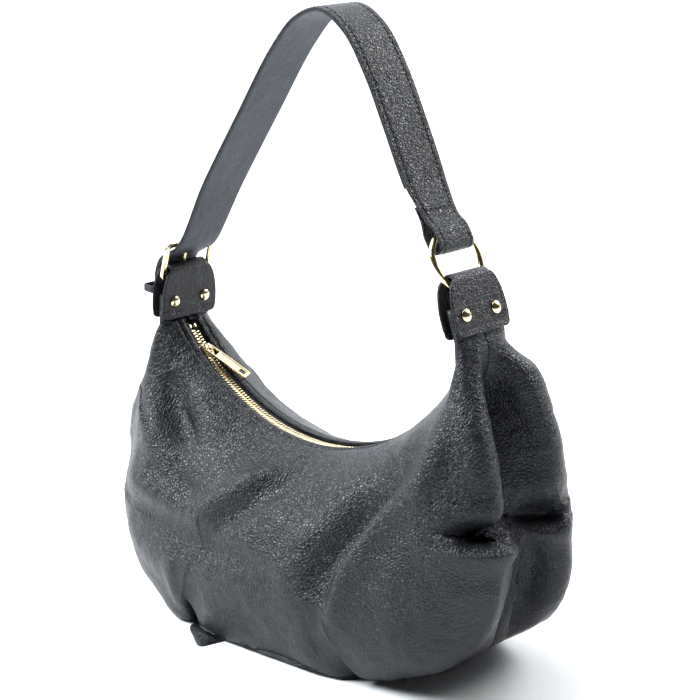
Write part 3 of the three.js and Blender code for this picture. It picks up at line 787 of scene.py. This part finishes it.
def zip_parts():
    step = math.degrees(TOOTH_PITCH / ZIP_RADIUS)
    for word, side, shift in (("front", -1, 0.0), ("back", 1, 0.5)):
        builder = Builder()
        angles = np.arange(-ZIP_END + 2.4 + shift * step, ZIP_END - 2.2, step)
        line, out = arc_frames(angles)
        for at, o in zip(line, out):
            tooth(builder, at, o, np.array([o[2], 0, -o[0]]), side)
        teeth = builder.make(f"teeth_{word}", TEETH_GOLD)
        dress(teeth, "bag", f"zip_teeth_{word}")

        angles = np.linspace(-ZIP_END, ZIP_END, 160)
        line, out = arc_frames(angles)
        grid = np.array([[p + np.array([0, side * y, 0]) + o * h for y, h in TAPE_SECTION]
                         for p, o in zip(line, out)])
        tape = piece(f"tape_{word}", grid.reshape(-1, 3), grid_faces(*grid.shape[:2]), TAPE)
        face_out(tape)
        modifier(tape, "SOLIDIFY", thickness=0.7 * MM, offset=0)
        dress(tape, "bag", f"zip_tape_{word}")

    for name, angle, low, high, wide in (
        ("zip_top_stop_front", -ZIP_END + 1.1, -4.0, -0.8, 1.6),
        ("zip_top_stop_back", -ZIP_END + 1.1, 0.8, 4.0, 1.6),
        ("zip_bottom_stop", ZIP_END - 1.2, -4.0, 4.0, 1.4),
    ):
        line, out = arc_frames([angle])
        along = np.array([out[0][2], 0, -out[0][0]])
        rings = []
        for y, size in ((low, 0.6), (low + 0.5, 1), (high - 0.5, 1), (high, 0.6)):
            rings.append([line[0] + np.array([0, y, 0]) + along * a + out[0] * h
                          for a, h in rounded(wide * size, 1.7 * size, 0.5, 3)])
        made = solid(f"{name}_cast", GOLD, rings)
        dress(made, "bag", name)


def slider():
    """The slider: two plates with a wide nose and a narrow tail, side lips and a crown."""
    at = zip_point(SLIDER_AT)
    lean = -SLIDER_AT
    builder = Builder()

    def plate(low, high, round_out):
        outline = [(-6.0, 3.0), (-5.2, 4.8), (-3.0, 5.6), (0.0, 5.4), (3.4, 4.4), (5.6, 3.9), (6.0, 3.2)]
        loop = [(x, y) for x, y in outline] + [(x, -y) for x, y in reversed(outline)]
        rings = []
        first, final = 0.96 if round_out < 0 else 1.0, 0.94 if round_out > 0 else 1.0
        for k, shrink in ((0, first), (0.3, 1.0), (0.7, 1.0), (1, final)):
            rings.append([(x * shrink, y * shrink, low + (high - low) * k) for x, y in loop])
        builder.loft(placed(rings, at, lean))

    plate(1.6, 3.0, 1)
    plate(-3.0, -1.6, -1)
    for side in (-1, 1):
        lip = [(x, side * (5.4 - 0.16 * abs(x + 2)), 0) for x in np.linspace(-4.6, 5.0, 12)]
        for low, high in ((0.6, 2.0), (-2.0, -0.6)):
            section = rounded(0.35, (high - low) / 2, 0.2, 2)
            rings = tube(np.array(lip) + (0, 0, (low + high) / 2), section, up=(0, 0, 1))
            builder.loft(placed(rings, at, lean))
    arch = curve([(-4.0, 0, 2.6), (-3.6, 0, 5.0), (-1.8, 0, 6.3), (1.4, 0, 6.3), (3.4, 0, 5.2),
                  (4.0, 0, 2.6)], 28)
    builder.loft(placed(tube(arch, rounded(0.55, 1.35, 0.35, 3)), at, lean))
    made = builder.make("slider_cast", GOLD)
    dress(made, "slider", "zip_slider")


def outline_solid(builder, outer, hole, low, high, bevel, place):
    """A plate between two outlines with the same number of points, with softened edges."""
    outer, hole = np.array(outer, float), np.array(hole, float)
    middle_out, middle_in = outer.mean(axis=0), hole.mean(axis=0)

    def shrunk(loop, middle, amount):
        away = loop - middle
        return loop - np.sign(away) * amount

    rings = [
        np.c_[outer, np.full(len(outer), low + bevel)], np.c_[outer, np.full(len(outer), high - bevel)],
        np.c_[shrunk(outer, middle_out, bevel), np.full(len(outer), high)],
        np.c_[shrunk(hole, middle_in, -bevel), np.full(len(outer), high)],
        np.c_[hole, np.full(len(outer), high - bevel)], np.c_[hole, np.full(len(outer), low + bevel)],
        np.c_[shrunk(hole, middle_in, -bevel), np.full(len(outer), low)],
        np.c_[shrunk(outer, middle_out, bevel), np.full(len(outer), low)],
    ]
    builder.loft(place(np.array(rings)), closed=True)


def pull():
    """The long pull: a flat bar with a raised rim, a slot at its end and a yoke round its pin."""
    at = zip_point(SLIDER_AT)
    lean = -SLIDER_AT
    yaw = Matrix.Rotation(rad(PULL_YAW), 3, "Z")
    pitch = Matrix.Rotation(-rad(PULL_REST), 3, "Y")
    turn = np.array(yaw @ pitch)

    def place(points):
        return placed(np.array(points) @ turn.T + (0, 0, PULL_HEIGHT), at, lean)

    builder = Builder()

    def box_loop(x0, x1, half, corner):
        return rounded((x1 - x0) / 2, half, corner, 4) + ((x0 + x1) / 2, 0)

    half = PULL_HALF_WIDTH
    bar = box_loop(8.6, PULL_LENGTH, half, 0.8)
    slot = box_loop(PULL_LENGTH - 8, PULL_LENGTH - 3, 1.9, 0.3)
    recess = box_loop(10.4, PULL_LENGTH - 1.2, half - 1.1, 0.5)
    outline_solid(builder, bar, slot, -0.75, 0.65, 0.15, place)
    outline_solid(builder, bar, recess, 0.5, 1.05, 0.12, place)
    for side in (-1, 1):
        arm = curve([(9.6, side * 3.5, 0), (5, side * 3.5, 0), (1.4, side * 3.6, 0),
                     (-0.2, side * 3.6, 0)], 14)
        builder.loft(place(tube(arm, rounded(0.6, 0.85, 0.3, 3), up=(0, 0, 1))))
    pin = np.array([(0, y, 0) for y in (-3.9, -3.7, 3.7, 3.9)])
    taper = np.array([0.7, 1, 1, 0.7])[:, None, None]
    builder.loft(place(tube(pin, circle(0.75, 14)[None] * taper, up=(0, 0, 1))))
    made = builder.make("pull_cast", GOLD)
    modifier(made, "EDGE_SPLIT", split_angle=rad(35))
    dress(made, "pull", "zip_pull")


# ---- tabs and hardware --------------------------------------------------------------


def tab_half_width(height, edge):
    """Half the strip's width: round lower corners, straight sides, then in to the fold."""
    corner = 6
    shoulder = min(max((height - TAB_SHOULDER) / (TAB_FOLD + 3 - TAB_SHOULDER), 0), 1)
    w = TAB_FOLD_HALF_WIDTH + (TAB_HALF_WIDTH - TAB_FOLD_HALF_WIDTH) * (1 - shoulder ** 2) ** 0.6
    if edge < corner:
        w -= corner - math.sqrt(corner ** 2 - (corner - edge) ** 2)
    return w


def tab(word, tab_place, slot_cut):
    reach = TAB_CHANNEL + TAB_LEATHER / 2
    turn = [(reach * math.cos(a), TAB_FOLD + reach * math.sin(a)) for a in np.linspace(0, math.pi, 24)]
    heights = np.concatenate([[0.25, 0.6, 1.2, 2, 3, 4.4], np.linspace(6, TAB_FOLD, 22)[:-1]])
    path = [(reach, h) for h in heights] + turn + [(-reach, h) for h in heights[::-1]]
    rings = []
    for x, z in path:
        dip = math.exp(-((z - 5.5) / 1.6) ** 2) * 0.9 if z < 12 else 0
        w = tab_half_width(z, z)
        thick = TAB_LEATHER / 2 * (0.75 if z < 0.4 else 1)
        ring = []
        normal = (1 if x > 0 else -1, 0) if z <= TAB_FOLD else (x / reach, (z - TAB_FOLD) / reach)
        for u, v in tab_section(w, thick):
            cushion = -dip if v > 0 else 0
            near_rivet = math.exp(-((abs(u) - RIVET_SPACING / 2) ** 2 + (z - RIVET_HEIGHT) ** 2) / 40)
            sink = cushion - (0.45 * near_rivet if v > 0 else 0)
            out = v + sink
            ring.append((x + normal[0] * out, u, z + normal[1] * out))
        rings.append(ring)
    made = solid(f"{word}_tab_leather", TAB_LEATHER_LOOK, in_tab(rings, tab_place))
    if slot_cut:
        cut_slot(made, tab_place)
    dress(made, "bag", f"{word}_tab")


def tab_section(w, thick):
    """A flat strip's section as [across, out], with round edges and points across its faces."""
    half_turn = np.linspace(0, math.pi, 7)[1:-1]
    top = [(u, thick) for u in np.linspace(w - 1.2, -w + 1.2, 25)]
    left = [(-w + 1.2 - 1.2 * math.sin(a), thick * math.cos(a)) for a in half_turn]
    bottom = [(u, -thick) for u in np.linspace(-w + 1.2, w - 1.2, 25)]
    right = [(w - 1.2 + 1.2 * math.sin(a), -thick * math.cos(a)) for a in half_turn]
    return top + left + bottom + right


def cut_slot(made, tab_place):
    """Room for the prong through the fold."""
    loop = [(x, y, z) for x in (-9, 0.5) for y, z in ((-3.4, 27), (3.4, 27), (3.4, 46), (-3.4, 46))]
    faces = [(0, 1, 2, 3), (7, 6, 5, 4), (0, 4, 5, 1), (1, 5, 6, 2), (2, 6, 7, 3), (3, 7, 4, 0)]
    cutter = piece("slot_tool", in_tab(loop, tab_place), faces, EDGE, smooth=False)
    face_out(cutter)
    settings = modifier(made, "BOOLEAN", operation="DIFFERENCE", object=cutter, solver="EXACT")
    bpy.context.view_layer.update()
    cut = bpy.data.meshes.new_from_object(made.evaluated_get(bpy.context.evaluated_depsgraph_get()))
    made.modifiers.remove(settings)
    made.data = cut
    bpy.data.objects.remove(cutter)


def rivets():
    face = TAB_CHANNEL + TAB_LEATHER
    cap = [(0.01, face + 2.1), (1.2, face + 2.0), (2.4, face + 1.75), (3.4, face + 1.25),
           (4.1, face + 0.75), (RIVET_CAP, face + 0.3), (RIVET_CAP - 0.05, face - 0.1),
           (RIVET_CAP - 0.5, face - 0.25), (1.7, face - 0.25)]
    profile = cap + [(r, -h) for r, h in reversed(cap)]
    for word, tab_place in (("left", LEFT_TAB), ("right", RIGHT_TAB)):
        for place, side in (("front", -1), ("back", 1)):
            rings = np.array(turned(profile))
            rings = rings[..., [2, 1, 0]] + (0, side * RIVET_SPACING / 2, RIVET_HEIGHT)
            made = solid(f"{word}_rivet_cap_{place}", GOLD, in_tab(rings, tab_place))
            dress(made, "bag", f"{word}_rivet_{place}")


def up_the_ring(point):
    """The place one ring radius further along the ring's lean."""
    return (point[0] + RING_RADIUS * math.sin(rad(RING_LEAN)),
            point[1] + RING_RADIUS * math.cos(rad(RING_LEAN)))


RING_CENTRE = up_the_ring(tab_point(RIGHT_TAB, 0, RING_LOW))
RING_TOP = up_the_ring(RING_CENTRE)
HEEL = tab_point(LEFT_TAB, 0, HEEL_HEIGHT)


def ring():
    hoop = [(0, RING_RADIUS * math.cos(a), RING_RADIUS * math.sin(a)) for a in full_turn(96)]
    rings = tube(hoop, circle(WIRE, 20), up=(1, 0, 0), closed=True)
    made = solid("ring_cast", GOLD, placed(rings, RING_CENTRE, RING_LEAN), closed=True)
    dress(made, "strap", "o_ring")


def buckle():
    loop = rounded(BUCKLE_HALF_WIDTH - WIRE, BUCKLE_HEIGHT / 2, 3.6, 8) + (0, BUCKLE_HEIGHT / 2)
    hoop = np.array([(0, y, z) for y, z in loop])
    section = rounded(WIRE * 0.95, BUCKLE_THICKNESS / 2, 1.3, 5)
    rings = tube(hoop, section, up=(1, 0, 0), closed=True)
    made = solid("buckle_cast", GOLD, placed(rings, HEEL, BUCKLE_LEAN), closed=True)
    dress(made, "strap", "buckle_frame")

    face = BUCKLE_THICKNESS / 2 + 1.1
    eye = [(3.8 * math.cos(a), 0, 3.8 * math.sin(a)) for a in full_turn(40)]
    builder = Builder()
    builder.loft(placed(tube(eye, circle(0.85, 10), closed=True), HEEL, BUCKLE_LEAN), closed=True)
    pin = curve([(-face + 0.4, 0, 2.6), (-face, 0, 8), (-face, 0, BUCKLE_HEIGHT - 4),
                 (-face + 0.2, 0, BUCKLE_HEIGHT + 3.2)], 24)
    taper = np.linspace(1.0, 0.75, 24)[:, None, None]
    builder.loft(placed(tube(pin, circle(1.0, 12)[None] * taper * (1.0, 1.5)), HEEL, BUCKLE_LEAN))
    made = builder.make("prong_cast", GOLD)
    dress(made, "prong", "buckle_prong")


# ---- the strap ----------------------------------------------------------------------


def strap_point(along, aside):
    c, s = math.cos(rad(STRAP_END_LEAN)), math.sin(rad(STRAP_END_LEAN))
    return (RING_TOP[0] + along * s + aside * c, RING_TOP[1] + along * c - aside * s)


STRAP_ROUTE = [
    tab_point(LEFT_TAB, STRAP_OUTSIDE, 3), tab_point(LEFT_TAB, STRAP_OUTSIDE, 20),
    tab_point(LEFT_TAB, STRAP_OUTSIDE + 0.3, 34), tab_point(LEFT_TAB, -6.5, 45),
    tab_point(LEFT_TAB, 2, 51),
    tab_point(LEFT_TAB, 13.4, 58.4),
    (-98, 327), (-56, 381), (-16, 431), (8, 452), (32, 458), (54, 445), (72, 418), (88, 383),
    strap_point(34, 0),
]


def offset(line, distance):
    """A line of [x, z] moved to its left as it runs."""
    t = tangents(line)
    return np.array(line) + np.stack([-t[:, 1], t[:, 0]], axis=1) * distance


def strap_ring(half, thick, crown, groove):
    """The strap's section as [out, across]: a crowned face with two stitch grooves, and round edges."""
    points = []
    half_turn = np.linspace(0, math.pi, 5)[1:-1]
    for u in np.linspace(half - 0.5, -half + 0.5, 45):
        dip = groove * math.exp(-((abs(u) - half + SEAM_INSET) / 0.8) ** 2)
        swell = crown * (1 - (u / half) ** 4) - dip
        points.append((thick / 2 + swell, u))
    points += [(thick / 2 * math.cos(a), -half + 0.5 - 0.5 * math.sin(a)) for a in half_turn]
    points += [(-thick / 2, u) for u in np.linspace(-half + 0.5, half - 0.5, 45)]
    points += [(-thick / 2 * math.cos(a), half - 0.5 + 0.5 * math.sin(a)) for a in half_turn]
    return np.array(points)


def strip_along(line, section):
    """The section swept along a line of [x, z], its out side to the line's left."""
    centre = np.stack([line[:, 0], np.zeros(len(line)), line[:, 1]], axis=1)
    t = tangents(centre)
    left = np.stack([-t[:, 2], np.zeros(len(t)), t[:, 0]], axis=1)
    return (centre[:, None] + section[None, :, :1] * left[:, None]
            + section[None, :, 1:] * np.array([0, 1.0, 0]))


SEWN_POINTS = 450
SEAM_INSET = 4.0
STRAP_SPREAD = 1.22
IN_BUCKLE = 1.12
IN_RING = 0.98


def strap_spread(count):
    """The strap's width against the CAD's: widest over the shoulder, least at the ring."""
    at = np.arange(count)
    wide = IN_BUCKLE + (STRAP_SPREAD - IN_BUCKLE) * smoothstep(at, 70, 130)
    return wide + (IN_RING - wide) * smoothstep(at, SEWN_POINTS - 50, SEWN_POINTS + 16)


def strap():
    middle = even(curve(STRAP_ROUTE, 700), 420)
    above = (STRAP_OUTER + 0.1) / 2
    side = LOOP_HALF_GAP + STRAP_OUTER / 2
    turn = [strap_point(-LOOP_REACH - side * math.sin(rad(a)), side * math.cos(rad(a)))
            for a in range(0, 181, 15)]
    tail = [strap_point(26, above + 0.1), strap_point(16, above + 0.2), strap_point(8, above + 1.0),
            strap_point(0, side)]
    back = [strap_point(0, -side), strap_point(6, -above - 2.2), strap_point(11, -above - 1.1),
            strap_point(20, -above - 1.0)]
    main = offset(middle, above)
    loop_line = even(curve([main[-1]] + tail + turn + back, 300), 150)
    face_line = np.vstack([main, loop_line[1:]])
    section = strap_ring(STRAP_HALF_WIDTH, STRAP_OUTER, 0.4, 0.5)
    rings = strip_along(face_line, section)
    spread = strap_spread(len(rings))
    rings[..., 1] *= spread[:, None]
    made = solid("strap_face_leather", STRAP_FACE, rings)
    dress(made, "strap", "strap_outer")

    inner_line = offset(middle, -(STRAP_INNER + 0.1) / 2)
    inner_rings = strip_along(inner_line, strap_ring(STRAP_HALF_WIDTH - 0.2, STRAP_INNER, 0.0, 0.0))
    inner_rings[..., 1] *= spread[:len(inner_rings), None]
    inner = solid("strap_back_leather", STRAP_BACK, inner_rings)
    dress(inner, "strap", "strap_inner")

    outer_face = offset(face_line, STRAP_OUTER / 2 + 0.02)[:SEWN_POINTS]
    t = tangents(outer_face)
    normals = np.stack([-t[:, 1], np.zeros(len(t)), t[:, 0]], axis=1)
    builder = Builder()
    for across in (-1, 1):
        aside = across * (STRAP_HALF_WIDTH - SEAM_INSET) * spread[:len(outer_face)]
        line = np.stack([outer_face[:, 0], aside, outer_face[:, 1]], axis=1)
        stitches(builder, line[2:], normals[2:], 4.0, 0.42)
    end = outer_face[-1]
    half_seam = (STRAP_HALF_WIDTH - SEAM_INSET) * spread[SEWN_POINTS]
    across = np.linspace(-half_seam, half_seam, 30)
    line = np.stack([np.full(30, end[0]), across, np.full(30, end[1])], axis=1)
    stitches(builder, line + 0.5 * normals[-1], normals[-1], 4.0, 0.48)
    sewn = builder.make("strap_stitches", THREAD)
    dress(sewn, "strap", None)


def keeper():
    low, high = TONGUE_TOP + 0.6, TONGUE_TOP + 6.1
    x0, x1 = STRAP_OUTSIDE - 3.1 - 0.6, -TAB_CHANNEL + 1.0
    half = TAB_HALF_WIDTH + 1.2
    loop = rounded((x1 - x0) / 2, half, 2.5, 6) + ((x0 + x1) / 2, 0)
    path = np.array([(x, y, (low + high) / 2) for x, y in loop])
    rings = tube(path, rounded(0.6, (high - low) / 2, 0.35, 3), up=(0, 0, 1), closed=True)
    made = solid("keeper_leather", TAB_LEATHER_LOOK, in_tab(rings, LEFT_TAB), closed=True)
    dress(made, "bag", "strap_keeper")


# ---- camera, floor and lights -------------------------------------------------------


# Lengths here are metres, but for the floor's; powers are watts, and angles degrees.
CAMERA_VIEW = (45, 14, -2.5)  # azimuth, elevation and roll
CAMERA_TARGET = (0.0135, 0.0135, 0.212)
CAMERA_DISTANCE = 1.4
CAMERA_LENS = 99.6
FLOOR_HALF = 9000
ROOM_COLOR = (0.90, 0.95, 1, 1)
WALL_DIRECTION = (-0.62, 0.62, 0.48)
WALL_FADE = (0.1, 0.95)
ROOM_LIGHT = 0.04
WALL_LIGHT = 2.2
SKY_PANEL = 2.6
SKY_SPREAD = 35
SKY_COLOR = (0.93, 0.97, 1.0)
SKY_TOWARD = (0.5, 0.35, -1)
KEY_LIGHT = ((-1.5, -1.3, 1.7), (0, 0, 0.2), (1.1, 1.1), 90, (0.90, 0.96, 1.0))
STRAP_LIGHT = ((0.5, 1.7, 1.5), (0.05, 0, 0.35), (1.5, 0.8), 45)


def camera():
    azimuth, elevation, roll = (rad(angle) for angle in CAMERA_VIEW)
    level = math.cos(elevation)
    forward = Vector((-math.sin(azimuth) * level, math.cos(azimuth) * level, -math.sin(elevation)))
    right = Vector((math.cos(azimuth), math.sin(azimuth), 0))
    up = right.cross(forward)
    across = right * math.cos(roll) + up * math.sin(roll)
    upright = up * math.cos(roll) - right * math.sin(roll)
    data = bpy.data.cameras.new("camera")
    data.sensor_width = 36
    data.lens = CAMERA_LENS
    made = bpy.data.objects.new("camera", data)
    place = Vector(CAMERA_TARGET) - forward * CAMERA_DISTANCE
    rows = [(across[i], upright[i], -forward[i], place[i]) for i in range(3)]
    made.matrix_world = Matrix((*rows, (0, 0, 0, 1)))
    bpy.context.scene.collection.objects.link(made)
    bpy.context.scene.camera = made


def area_light(name, place, target, size, power, color=(1, 1, 1)):
    data = bpy.data.lights.new(name, "AREA")
    data.shape = "RECTANGLE"
    data.size, data.size_y = size
    data.energy = power
    data.color = color
    made = bpy.data.objects.new(name, data)
    made.location = place
    made.rotation_euler = (Vector(target) - Vector(place)).to_track_quat("-Z", "Y").to_euler()
    bpy.context.scene.collection.objects.link(made)


def studio():
    floor_look = Look("studio_floor", (0.95, 0.95, 0.95), 0.7)
    floor_look.mix(floor_look.noise(0.6).outputs[0], (0.94, 0.94, 0.94), (0.96, 0.96, 0.96))
    floor_look.shader.inputs["Specular IOR Level"].default_value = 0.2
    corners = [(x * FLOOR_HALF, y * FLOOR_HALF, 0) for x, y in ((-1, -1), (1, -1), (1, 1), (-1, 1))]
    floor = piece("floor", corners, [(0, 1, 2, 3)], floor_look.material, smooth=False)
    world = bpy.data.worlds.new("studio")
    world.use_nodes = True
    nodes, links = world.node_tree.nodes, world.node_tree.links
    background = nodes["Background"]
    background.inputs[0].default_value = ROOM_COLOR
    # a white wall behind and to the left of the bag, a darker room in front of it
    direction = nodes.new("ShaderNodeTexCoord").outputs["Generated"]
    toward_wall = nodes.new("ShaderNodeVectorMath")
    toward_wall.operation = "DOT_PRODUCT"
    links.new(direction, toward_wall.inputs[0])
    toward_wall.inputs[1].default_value = WALL_DIRECTION
    shade = nodes.new("ShaderNodeMapRange")
    shade.interpolation_type = "SMOOTHSTEP"
    links.new(toward_wall.outputs["Value"], shade.inputs["Value"])
    shade.inputs["From Min"].default_value = WALL_FADE[0]
    shade.inputs["From Max"].default_value = WALL_FADE[1]
    shade.inputs["To Min"].default_value = ROOM_LIGHT
    shade.inputs["To Max"].default_value = WALL_LIGHT
    links.new(shade.outputs[0], background.inputs[1])
    bpy.context.scene.world = world
    bpy.context.scene.view_settings.view_transform = "Standard"
    sun = bpy.data.lights.new("sky_panel", "SUN")
    sun.energy = SKY_PANEL
    sun.angle = rad(SKY_SPREAD)
    sun.color = SKY_COLOR
    hung = bpy.data.objects.new("sky_panel", sun)
    hung.rotation_euler = Vector(SKY_TOWARD).to_track_quat("-Z", "Y").to_euler()
    bpy.context.scene.collection.objects.link(hung)
    area_light("key", *KEY_LIGHT)
    area_light("strap_side", *STRAP_LIGHT)


camera()
body_panel("front_leather", "front_panel", -1)
body_panel("back_leather", "back_panel", 1)
base()
lining()
zip_parts()
slider()
pull()
tab("left", LEFT_TAB, True)
tab("right", RIGHT_TAB, False)
rivets()
ring()
buckle()
strap()
keeper()
studio()
